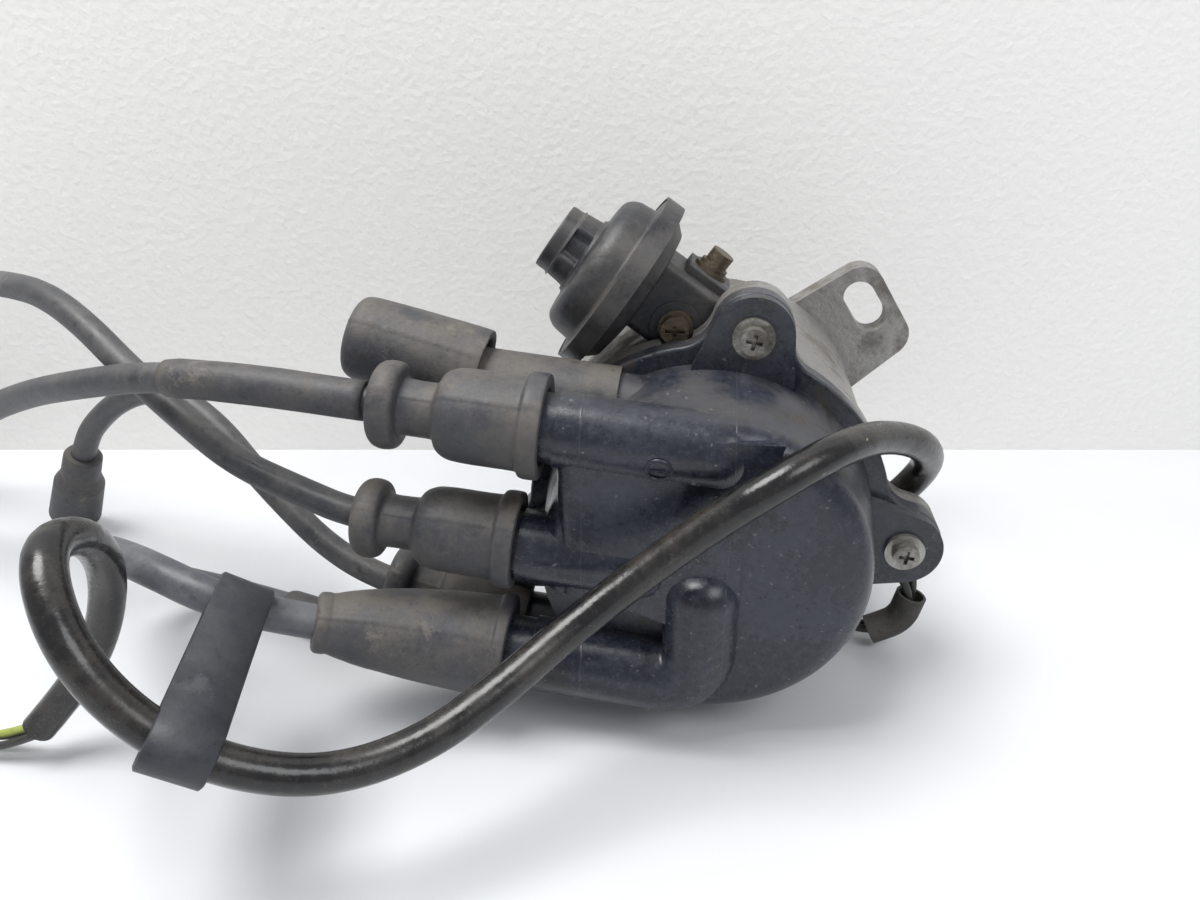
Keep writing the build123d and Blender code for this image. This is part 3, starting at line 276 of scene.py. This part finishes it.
boot_rubber = rubber("boot rubber", (0.046, 0.047, 0.054), (0.118, 0.106, 0.091), 0.52, 0.85)
lead_rubber = rubber("lead jacket", (0.040, 0.042, 0.048), (0.112, 0.107, 0.103), 0.42, 0.85, 0.15)
coil_jacket = rubber("coil lead jacket", (0.075, 0.079, 0.092), (0.150, 0.152, 0.160), 0.44, 0.8, 0.1)
sheath_black = rubber("harness sheath", (0.007, 0.007, 0.008), (0.060, 0.053, 0.045), 0.22, 0.60, 0.1, 0.9)
strap_black = rubber("strap rubber", (0.026, 0.028, 0.036), (0.056, 0.057, 0.064), 0.48, 0.7, 0.3)
seal_black = rubber("seal rubber", (0.018, 0.018, 0.018), (0.05, 0.05, 0.048), 0.5, 0.3)
dark_jacket = rubber("dark wire", (0.020, 0.020, 0.020), (0.07, 0.066, 0.06), 0.4, 0.4)
green_jacket = rubber("green wire", (0.34, 0.40, 0.055), (0.30, 0.31, 0.16), 0.42, 0.4)
unit_black = rubber("vacuum unit moulding", (0.018, 0.020, 0.026), (0.092, 0.084, 0.075), 0.42, 0.8, 0.35)
woven_sleeve = rubber("woven sleeve", (0.035, 0.033, 0.031), (0.13, 0.12, 0.105), 0.72, 0.8, 0.8)
print("rubber finishes made")

# %% [markdown]
# ## Metals
# The bowl is sand-cast aluminium gone dull grey under oily grime. Screws are zinc plated and stained
# brown in their recesses.

# %% Metal finishes
def metal(name, clean, grime, roughness, amount, grain, metallic=1.0):
    made = Finish(name, clean, roughness, metallic)
    dirt = made.noise(75, 7, 0.65).above(0.42, 0.62)
    pit = made.noise(grain, 3)
    bare = made.blend(pit, [c * 0.8 for c in clean], clean)
    made.set("Base Color", made.blend(dirt * amount, bare, grime))
    made.set("Roughness", roughness + dirt * 0.25 + pit * 0.08)
    made.set("Metallic", metallic - dirt * (amount * metallic * 0.8))
    made.bump(pit + made.noise(grain / 5, 5, 0.7) * 0.8, 0.55, 0.0005)
    return made


cast = metal("cast aluminium", (0.42, 0.41, 0.395), (0.085, 0.074, 0.060), 0.46, 0.75, 700)
plated = metal("plated screw", (0.40, 0.39, 0.36), (0.060, 0.050, 0.038), 0.36, 0.85, 900)
brown_screw = metal("bronzed screw", (0.19, 0.155, 0.115), (0.07, 0.055, 0.038), 0.45, 0.75, 800)
steel = metal("turned steel", (0.50, 0.50, 0.49), (0.2, 0.18, 0.15), 0.3, 0.3, 1200)
sintered = metal("sintered bronze", (0.50, 0.33, 0.16), (0.16, 0.11, 0.06), 0.4, 0.5, 1600)
contact = metal("contact brass", (0.62, 0.45, 0.20), (0.25, 0.18, 0.09), 0.3, 0.4, 900)
potted = metal("potted module", (0.030, 0.030, 0.033), (0.06, 0.055, 0.05), 0.45, 0.5, 700, 0.0)
moulding = metal("rotor moulding", (0.055, 0.032, 0.022), (0.09, 0.07, 0.055), 0.3, 0.4, 500, 0.0)
print("metal finishes made")

# %% [markdown]
# ## Dress the solids
# Every solid takes the finish of its real material. Assigning to the object's own slot leaves its shape
# alone.

# %% Finish of each node
dress = {
    cast: ["housing"], cap_black: ["cap"],
    steel: ["shaft", "drive_coupling", "coupling_pin", "thrust_washer", "base_plate", "weight_plate",
            "weight_upper", "weight_lower", "cam_sleeve", "reluctor", "advance_plate", "pole_piece",
            "vacuum_rod", "vacuum_spring", "brush_spring"],
    sintered: ["shaft_bushes"], contact: ["tower_inserts", "side_terminals", "rotor_electrode"],
    potted: ["ignition_module", "pickup_coil", "carbon_brush", "harness_connector", "pickup_plug"],
    moulding: ["rotor_arm"],
    plated: ["cap_screws", "plate_screws", "rotor_screw"], brown_screw: ["vacuum_screws"],
    unit_black: ["vacuum_body", "vacuum_cover"],
    seal_black: ["cap_seal", "oil_seal", "spigot_o_ring", "diaphragm", "harness_grommet", "pickup_grommet"],
    boot_rubber: ["boot_one", "boot_two", "boot_coil", "boot_five", "elbow_boot", "tower_sleeve_four",
                  "plug_boots", "plug_boot_e", "coil_end_plug", "lead_sleeve"],
    strap_black: ["strap"], woven_sleeve: ["pickup_wire_sleeve"],
}
for finish, names in dress.items():
    for name in names:
        mesh = nodes[name].data
        mesh.materials.clear()
        mesh.materials.append(finish.material)
print("dressed", sum(len(names) for names in dress.values()))

# %% [markdown]
# ## Leads and harness
# A lead is a fixed length of something springy, so it lies in one smooth line. A NURBS spline of order 3
# with the route's points as its control points gives that line; the jacket is the curve's own bevel.

# %% Cords
def cord(name, finish, radius, points):
    """Cord of one radius along the route's points, all in mm."""
    curve = bpy.data.curves.new(name, "CURVE")
    curve.dimensions, curve.bevel_depth, curve.bevel_resolution = "3D", radius / 1000, 8
    curve.use_fill_caps, curve.resolution_u = True, 14
    spline = curve.splines.new("NURBS")
    spline.points.add(len(points) - 1)
    for point, place in zip(spline.points, points):
        point.co = (*[c / 1000 for c in place], 1)
    spline.order_u, spline.use_endpoint_u = 3, True
    curve.materials.append(finish.material)
    made = bpy.data.objects.new(name, curve)
    scene.collection.objects.link(made)
    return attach(made, BODY)


lead_a = cord("plug_lead_one", lead_rubber, 3.5, [
    (-52.5, -100, 34.3), (-76.8, -100, 36.8), (-101.3, -100, 39.4), (-125.7, -97.8, 39.3),
    (-148.8, -91.5, 33.7), (-170.1, -81.6, 26.5), (-191, -72.5, 17.5), (-211, -63.8, 6.4),
    (-230.2, -55.8, -6.4), (-246, -50.5, -19), (-262, -47, -31), (-280, -44, -37.3), (-304, -40, -37.3)])
lead_b = cord("plug_lead_two", lead_rubber, 3.5, [
    (-61.5, -100, 6), (-79.3, -100.6, 7.9), (-95.4, -96.6, 11.6), (-111.7, -93.6, 16.7),
    (-125.9, -89.6, 26.3), (-140, -84.4, 35.3), (-153.8, -77, 43.4), (-168.6, -69.1, 48.3),
    (-184.2, -60.8, 48.1), (-199.5, -52.5, 46.2), (-214.3, -44.8, 40.4), (-227.4, -38.2, 30.7),
    (-239.2, -32.5, 18.9), (-249.6, -27.3, 5.8), (-258, -22.5, -9), (-268, -17, -24), (-284, -10, -37.3),
    (-306, -2, -37.3)])
lead_coil = cord("coil_lead", coil_jacket, 4.0, [
    (-71.7, -108.6, -18.2), (-90.5, -112.7, -13.8), (-104.2, -122.3, -2.9), (-123.5, -117.3, 1.7),
    (-140, -106, -3), (-153, -90, -14), (-153, -74, -31.5), (-131, -68.5, -39.8), (-107, -76, -39.8)])
lead_e = cord("plug_lead_five", lead_rubber, 3.5, [
    (-60.5, -78.9, -29.6), (-74.7, -79.5, -26.2), (-88.8, -78.3, -22.4), (-101.5, -74.7, -16.8),
    (-112.6, -70.7, -8.3), (-123.2, -66.5, 0.7), (-133.4, -61.4, 9.7), (-145.8, -56.7, 16.2),
    (-159.2, -50.1, 15.5), (-172.1, -45.6, 10.3), (-183.5, -41.3, 2.4), (-193.9, -37.6, -7.3),
    (-200.5, -35, -20)])
harness = cord("harness", sheath_black, 3.75, [
    (28.5, -57.2, -6.8), (45.5, -57.2, -6.6), (55.3, -61.8, 9.7), (50, -75.3, 21.9), (38.3, -87, 28.9),
    (26.7, -103.2, 33.1), (14, -113.8, 29.8), (-0.6, -115.5, 18.7), (-13.9, -119.2, 8.5), (-27, -127, -0.2),
    (-38.5, -138.4, -6.7), (-51.1, -149, -12.4), (-66.1, -158.3, -13.2), (-81.6, -164.2, -7),
    (-95.7, -165.9, 3.4), (-105.8, -164.5, 17.9), (-115, -153.4, 29.4), (-119.7, -136.5, 22.1),
    (-124.3, -126.8, 8), (-130.4, -124.4, -8.4), (-138.8, -126.1, -23.8), (-150.2, -130.4, -36.2)])
for made, node in zip((lead_a, lead_b, lead_coil, lead_e, harness),
                      ("lead_a", "lead_b", "lead_coil", "lead_e", "harness_sheath")):
    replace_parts(made, node)
print("leads laid")

# %% [markdown]
# ## Loose wires
# Three thin wires leave the end of the harness sheath and share a small connector. Two more come out of the
# bowl's grommet, turn down through a woven sleeve and end in their own plug behind it.

# %% Wires
wires = [
    cord("harness_wire_black", dark_jacket, 0.95, [
        (-149.9, -132.1, -36.7), (-162, -133.1, -42.4), (-180, -131.6, -42.9), (-203, -128.6, -40.6)]),
    cord("harness_wire_brown", dark_jacket, 0.95, [
        (-150.3, -129.1, -37.4), (-162, -129, -42.5), (-180, -126.6, -43), (-203, -123.6, -40.6)]),
    cord("harness_wire_green", green_jacket, 0.95, [
        (-151.7, -130.4, -35.6), (-162, -130.9, -40.3), (-180, -128.8, -42.1), (-203, -125.8, -40.6)])]
for wire in wires[:2]:
    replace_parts(wire, "wires_dark")
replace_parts(wires[2], "wire_green")
pair = [
    cord("pickup_wire_front", dark_jacket, 1.1, [
        (28, -59.8, -18), (44, -60.3, -18.2), (52, -62.3, -21), (56.4, -63.3, -30), (54.5, -63.3, -37),
        (46.2, -63.5, -40.7), (36.4, -57.8, -41.2), (34.7, -45, -40), (35.7, -37, -39.5)]),
    cord("pickup_wire_back", dark_jacket, 1.1, [
        (28, -57.2, -18), (44, -57.7, -18.2), (56, -59.7, -21), (57.2, -60.7, -30), (54.5, -60.7, -37),
        (46.8, -61, -40.7), (38.6, -56.2, -41.2), (37.3, -45, -40), (38.3, -37, -39.5)])]
for wire in pair:
    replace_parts(wire, "pickup_wires")
print("wires", len(wires) + len(pair))

# %% [markdown]
# ## Rubber boots
# A boot is a turned form: a lip that grips the tower, a barrel, a waist and a bead at the lead. Its outline
# is cut at the corners twice, which rounds it as moulded rubber is, and the skin is pushed in and out a
# little so that it looks soft. A fine ridge shows where the two halves of its mould met. The boot of the
# coil lead bends too.

# %% Turned soft pieces
def rounded(points, passes=2):
    """Corner cutting: each corner gives way to two points near it."""
    for _ in range(passes):
        cut = [points[0]]
        for (r, t), (s, u) in zip(points, points[1:]):
            cut += [(0.75 * r + 0.25 * s, 0.75 * t + 0.25 * u), (0.25 * r + 0.75 * s, 0.25 * t + 0.75 * u)]
        points = cut + [points[-1]]
    return points


def across(axis):
    """Two directions square to an axis, the first as near to straight up as it can be."""
    up = (Vector((0, 0, 1)) - axis * axis.z).normalized()
    return up, axis.cross(up)


def skin_over(name, finish, rings):
    """Smooth skin over closed rings of equally many points."""
    skin = bmesh.new()
    rows = [[skin.verts.new(place) for place in ring] for ring in rings]
    for low, high in zip(rows, rows[1:]):
        for k in range(len(low)):
            skin.faces.new((low[k], low[k - 1], high[k - 1], high[k])).smooth = True
    bmesh.ops.recalc_face_normals(skin, faces=skin.faces)
    mesh = bpy.data.meshes.new(name)
    skin.to_mesh(mesh)
    skin.free()
    mesh.materials.append(finish.material)
    made = bpy.data.objects.new(name, mesh)
    scene.collection.objects.link(made)
    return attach(made, BODY)


def soft(name, finish, start, bend, end, outline, seam=0.22, lumps=0.16, steps=96, shape=None):
    """Soft piece about a line from start to end that leans towards bend.

    outline is (radius, distance) in mm; seam and lumps are heights in mm; shape adds its own to the radius.
    """
    start, bend, end = [Vector(p) / 1000 for p in (start, bend, end)]
    span = (bend - start).length + (end - bend).length
    rings = []
    for radius, t in rounded(outline):
        u = t / 1000 / span
        centre = start * (1 - u) ** 2 + bend * (2 * u * (1 - u)) + end * u * u
        axis = ((bend - start) * (1 - u) + (end - bend) * u).normalized()
        up, side = across(axis)
        ring = []
        for k in range(steps):
            angle = 2 * math.pi * k / steps
            out = up * math.cos(angle) + side * math.sin(angle)
            place = centre + out * (radius / 1000)
            push = lumps * noise.noise(place * 130) + 0.3 * lumps * noise.noise(place * 420)
            if shape:
                push += shape(angle, t)
            if seam and k % (steps // 2) == steps * 3 // 8 and radius > 5:
                push += seam
            ring.append(place + out * (push / 1000))
        rings.append(ring)
    return skin_over(name, finish, rings)


barrel = [(7.8, 4), (7.8, 0.2), (11.3, 0), (11.7, 0.6), (11.7, 4.1), (10.7, 4.7), (10.3, 5.2), (10.3, 12),
          (10.2, 18.6), (9.8, 20.8), (8.6, 22.8), (6.6, 23.4), (6.15, 24.4), (6.1, 30.4), (6.6, 31.2),
          (8.8, 31.4), (9.7, 32.8), (9.8, 35.2), (9.0, 37.0), (7.0, 37.8), (4.4, 38.0), (3.6, 37.8),
          (3.6, 33)]
slim = [(r - 0.5 if r > 8 else r, t) for r, t in barrel]
rear = [(7.2, 4), (7.2, 0.2), (9.0, 0), (9.4, 0.6), (9.4, 6), (9.8, 9), (9.9, 17)] + barrel[9:]
hood = [(8.2, 4), (8.2, 0.2), (12.4, 0), (12.8, 0.5), (12.8, 3.8), (12.1, 4.4), (12.0, 9), (11.6, 16),
        (11.0, 23), (10.3, 29), (9.4, 35), (8.5, 39), (7.6, 42), (7.0, 43.6), (6.9, 44.2), (7.1, 44.8),
        (7.0, 46.4), (6.0, 47.0), (4.6, 47.0), (4.1, 46.6), (4.1, 42)]
elbow = [(9.3, 4), (9.3, 0.2), (10.7, 0), (11.0, 0.5), (10.9, 4), (10.7, 12), (10.4, 20), (10.2, 27),
         (10.0, 29.6), (9.2, 31.4), (7.0, 32.3), (3.5, 32.6), (0.02, 32.6)]
boots = [
    ("plug_boot_one", (-35.2, -100, 32.5), (-55.2, -100, 34.6), (-75.2, -100, 36.7), barrel, "boot_one"),
    ("plug_boot_two", (-42.1, -100, 3.9), (-62.1, -100, 6.0), (-82.1, -100, 8.1), slim, "boot_two"),
    ("coil_boot", (-45, -103, -24.6), (-64, -103, -22.2), (-91, -113, -13.3), hood, "boot_coil"),
    ("plug_boot_five", (-46, -78.9, -32.9), (-63, -78.9, -28.35), (-80, -78.9, -23.8), rear, "boot_five"),
    ("elbow_hood", (-54.2, -78, 35.3), (-69.2, -78, 39.6), (-84.2, -78, 43.9), elbow, "elbow_boot")]
for name, start, bend, end, outline, node in boots:
    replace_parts(soft(name, boot_rubber, start, bend, end, outline), node)
print("boots", len(boots))

# %% [markdown]
# ## Strap
# A flat rubber band holds the harness against the coil lead. It is a loop round both, a little slack
# between them.

# %% Strap
def loop_round(span, near, far, slack=0.5, steps=12, pieces=8):
    """Closed band round two circles span apart, whose radii are near and far, drawn in between by slack."""
    lean = math.acos((near - far) / span)

    def arc(centre, radius, first, last):
        turns = [first + (last - first) * k / steps for k in range(steps + 1)]
        return [(centre + math.cos(a) * radius, math.sin(a) * radius) for a in turns]

    def straight(side, shares):
        reach = [(f, near + (far - near) * f - slack * math.sin(math.pi * f)) for f in shares]
        return [(math.cos(lean) * r + span * f, side * math.sin(lean) * r) for f, r in reach]

    shares = [k / pieces for k in range(1, pieces)]
    return (arc(0, near, lean, 2 * math.pi - lean) + straight(-1, shares) + arc(span, far, -lean, lean)
            + straight(1, shares[::-1]))


STRAP_WIDTH, STRAP_THICK = 12.0, 1.3
LEAD_SIDE_R, HARNESS_SIDE_R = 4.6, 4.3  # inside of the band where it rounds the lead and the harness
# The band's cut edge, as shares of its thickness and of its width, with the corners taken off.
STRAP_EDGE = ((0, 0.4), (0, 0), (0.5, 0), (1, 0.035), (1, 0.965), (0.5, 1), (0, 1), (0, 0.6))
on_lead, on_harness = Vector((-101.4, -120.2, -5.2)), Vector((-88.6, -165.0, -2.4))
length_way = (on_harness - on_lead).normalized()
width_way = Vector((-0.85, -0.12, 0.51))
width_way = (width_way - length_way * width_way.dot(length_way)).normalized()
thick_way = width_way.cross(length_way)
rings = []
for outward, share in STRAP_EDGE:
    grow, edge_at = STRAP_THICK * outward, on_lead + width_way * STRAP_WIDTH * (share - 0.5)
    flat = loop_round((on_harness - on_lead).length, LEAD_SIDE_R + grow, HARNESS_SIDE_R + grow)
    rings.append([(edge_at + length_way * u + thick_way * v) / 1000 for u, v in flat])
band = skin_over("strap_band", strap_black, rings)
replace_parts(band, "strap")
print("strap points", len(rings[0]))

# %% [markdown]
# ## Cover of the vacuum unit
# The cover is drawn from sheet, so every corner of it is round. Its nub is grooved for a tool and carries
# four small ribs, and a hose nipple stands on its back.

# %% Rounded vacuum cover
VAC_ANGLE, VAC_OFFSET, VAC_REACH, VAC_DEPTH = math.radians(-35), 29.5, 51.0, -56.0
vac_way = Vector((math.cos(VAC_ANGLE), 0, math.sin(VAC_ANGLE)))
vac_up = Vector((-vac_way.z, 0, vac_way.x))
vac_foot = vac_up * VAC_OFFSET - vac_way * VAC_REACH + Vector((0, VAC_DEPTH, 0))


NUB_FROM, NUB_TO = 10.4, 14.9  # where the windows begin and end along the unit's axis
WINDOW_DEPTH, WINDOW_FLAT, WINDOW_SIDE = 1.9, 17, 24  # mm, then degrees to each side of a window's middle


def nub(angle, t):
    """Four windows between the ribs of the nub, in mm of radius."""
    if not NUB_FROM < t < NUB_TO:
        return 0.0
    off = abs((math.degrees(angle) + 25) % 90 - 45)
    if off < WINDOW_FLAT:
        return -WINDOW_DEPTH
    return -WINDOW_DEPTH * max(WINDOW_SIDE - off, 0) / (WINDOW_SIDE - WINDOW_FLAT)


cover = [(12, 0.3), (22.5, 0.2), (22.6, 1.2), (18.9, 1.3), (18.7, 3.4), (18.3, 6.6), (16.4, 9.0), (13.8, 9.4),
         (10.6, 9.5), (10.0, 9.9), (9.8, 10.5), (9.7, 10.6), (9.5, 12), (9.2, 14.6), (9.1, 14.8), (9.0, 15.1),
         (8.7, 15.3), (8.4, 15.6), (8.35, 18.3), (7.9, 18.7), (0.02, 18.8)]
cup = soft("vacuum_cup", unit_black, vac_foot, vac_foot - vac_way * 10, vac_foot - vac_way * 20, cover,
           seam=0, lumps=0.05, shape=nub)
nipple_foot = vac_foot - vac_way * 4.8 - vac_up * 5
nipple = [(3.2, 13), (3.4, 14), (3.4, 23), (2.6, 23.5), (2.4, 24), (2.4, 33.8), (1.9, 34.5), (1.2, 34.5),
          (1.2, 14)]
spout = soft("vacuum_nipple", unit_black, nipple_foot, nipple_foot + Vector((0, 20, 0)),
             nipple_foot + Vector((0, 40, 0)), nipple, seam=0, lumps=0.02, steps=32)
for made in (cup, spout):
    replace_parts(made, "vacuum_cover")
print("vacuum cover rounded")

# %% [markdown]
# ## Figures on the cap
# The moulded figures that number two of the towers stand in raised rings and read from the towers' ends.

# %% Figures
def ring_round(name, finish, centre, axis, radius, half_width, height, steps=64):
    """Flat raised ring square to an axis, sizes in mm."""
    axis = Vector(axis).normalized()
    up, side = across(axis)
    sunk, crest = -0.05, half_width * 0.6
    rings = []
    for out, rise in ((-half_width, sunk), (-crest, height), (crest, height), (half_width, sunk)):
        ring = []
        for k in range(steps):
            angle = 2 * math.pi * k / steps
            spoke = up * math.cos(angle) + side * math.sin(angle)
            ring.append((Vector(centre) + spoke * (radius + out) + axis * rise) / 1000)
        rings.append(ring)
    return skin_over(name, finish, rings)


def figure(text, centre, axis, size=4.2, rise=0.28):
    """Moulded figure in a raised ring, its top towards the tower's open end."""
    font = bpy.data.curves.new("figure_" + text, "FONT")
    font.body, font.size, font.extrude = text, size / 1000, rise / 1000
    font.align_x, font.align_y = "CENTER", "CENTER"
    letter = bpy.data.objects.new("outline", font)
    mesh = bpy.data.meshes.new_from_object(letter)
    bpy.data.objects.remove(letter)
    out = Vector(axis).normalized()
    top = Vector((-1, 0, 0))
    upright = Matrix((top.cross(out), top, out)).transposed().to_4x4()
    mesh.transform(Matrix.Translation(Vector(centre) / 1000) @ upright)
    mesh.materials.append(cap_black.material)
    made = bpy.data.objects.new("figure_" + text, mesh)
    scene.collection.objects.link(made)
    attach(made, BODY)
    ring_round("ring_" + text, cap_black, centre, axis, 2.6, 0.34, 0.42)


figure("1", (-10.4, -108.05, 27.8), (0, -0.966, -0.26))
figure("2", (-20.1, -106.85, 1.2), (0, -1, 0))
print("figures set")

# %% [markdown]
# ## Sleeve on the first lead
# A loose tube of rubber slips over the lead next to its boot. It follows the lead's own line, read back
# from the spline, so the two always share one axis.

# %% Sleeve
def line_of(made):
    """Points along a cord's centre line."""
    depth, made.data.bevel_depth = made.data.bevel_depth, 0
    mesh = bpy.data.meshes.new_from_object(made)
    made.data.bevel_depth = depth
    points = [v.co.copy() for v in mesh.vertices]
    bpy.data.meshes.remove(mesh)
    return points


def hose(name, finish, points, radii, steps=40):
    """Tube round a row of points, with a radius in mm at each."""
    rings = []
    for k, (point, radius) in enumerate(zip(points, radii)):
        up, side = across((points[min(k + 1, len(points) - 1)] - points[max(k - 1, 0)]).normalized())
        rings.append([point + (up * math.cos(a) + side * math.sin(a)) * (radius / 1000)
                      for a in (2 * math.pi * j / steps for j in range(steps))])
    return skin_over(name, finish, rings)


SLEEVE_END_X, SLEEVE_START_X = -0.121, -0.0735
SLEEVE_R, SLEEVE_BORE = 4.45, 3.4
line = [p for p in line_of(lead_a) if SLEEVE_END_X < p.x < SLEEVE_START_X]
swell = [SLEEVE_R + 0.12 * noise.noise(p * 90) for p in line]
line = [line[0]] + line + [line[-1]]
sleeve = hose("lead_one_sleeve", boot_rubber, line, [SLEEVE_BORE] + swell[:-2] + [4.35, 4.2, SLEEVE_BORE])
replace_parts(sleeve, "lead_sleeve")
print("sleeve rings", len(line))

# %% [markdown]
# ## What hangs free
# The free cords are the leads, the harness and the loose wires laid above; nothing more is done to them here.

print("free cords laid above")
